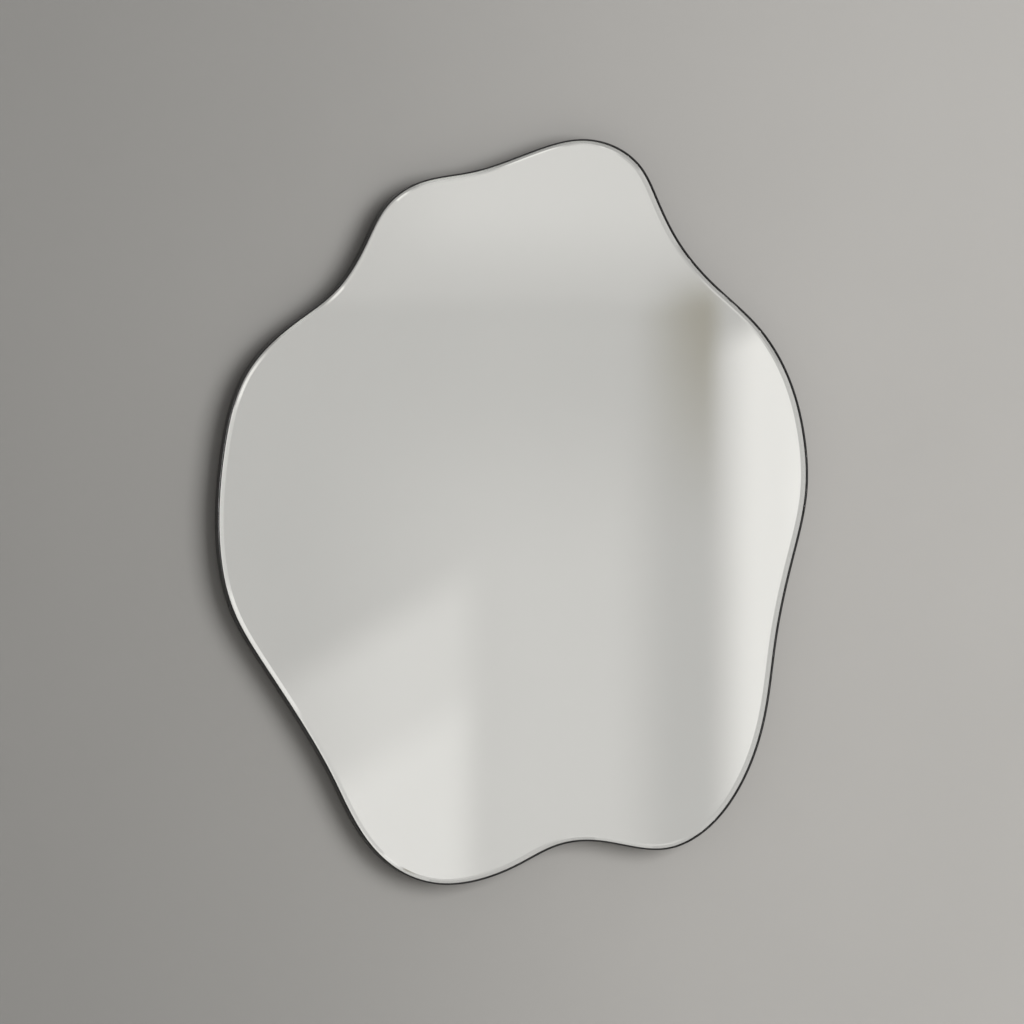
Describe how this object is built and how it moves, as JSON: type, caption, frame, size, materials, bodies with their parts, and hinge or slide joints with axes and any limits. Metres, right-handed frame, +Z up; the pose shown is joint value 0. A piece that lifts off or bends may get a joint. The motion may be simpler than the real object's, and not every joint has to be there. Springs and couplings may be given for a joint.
{
  "type": "wall mirror",
  "caption": "Free-form wall mirror: bevelled silvered glass on a black board with a thin black edge strip, strap hangers with D-rings and wall bumpers.",
  "frame": {"origin": "on the wall plane, behind the middle of the outline's width and height", "axes": "+Z up, -Y out of the glass towards the viewer, +Y into the wall, +X to the viewer's right"},
  "size_m": [0.45, 0.0183, 0.55],
  "materials": {
    "glass": "clear float glass with a polished bevel",
    "silver": "mirror silvering with protective paint on its back",
    "board": "fibreboard with a matt black coat",
    "strip": "black edge banding, satin",
    "tape": "closed-cell mounting foam",
    "zinc": "bright zinc plate",
    "rubber": "matt rubber"
  },
  "bodies": {
    "mirror": {"mirror_glass": "glass", "silver_coat": "silver", "backing_board": "board", "edge_strip": "strip", "foam_tape_1": "tape", "foam_tape_2": "tape", "foam_tape_3": "tape", "foam_tape_4": "tape", "foam_tape_5": "tape", "foam_tape_6": "tape", "wall_bumper_upper_right": "rubber", "wall_bumper_lower_right": "rubber", "wall_bumper_lower_left": "rubber", "wall_bumper_upper_left": "rubber", "hanger_strap_left": "zinc", "hanger_screw_left_upper": "zinc", "hanger_screw_left_lower": "zinc", "hanger_strap_right": "zinc", "hanger_screw_right_upper": "zinc", "hanger_screw_right_lower": "zinc"},
    "left_ring": {"d_ring_left": "zinc"},
    "right_ring": {"d_ring_right": "zinc"}
  },
  "joints": [
    {"name": "left_ring_swing", "type": "hinge", "parent": "mirror", "child": "left_ring", "pos_m": [-0.09627, -0.00295, 0.1], "axis": [-1, 0, 0], "range_deg": [0, 170]},
    {"name": "right_ring_swing", "type": "hinge", "parent": "mirror", "child": "right_ring", "pos_m": [0.10522, -0.00295, 0.1], "axis": [-1, 0, 0], "range_deg": [0, 170]}
  ]
}
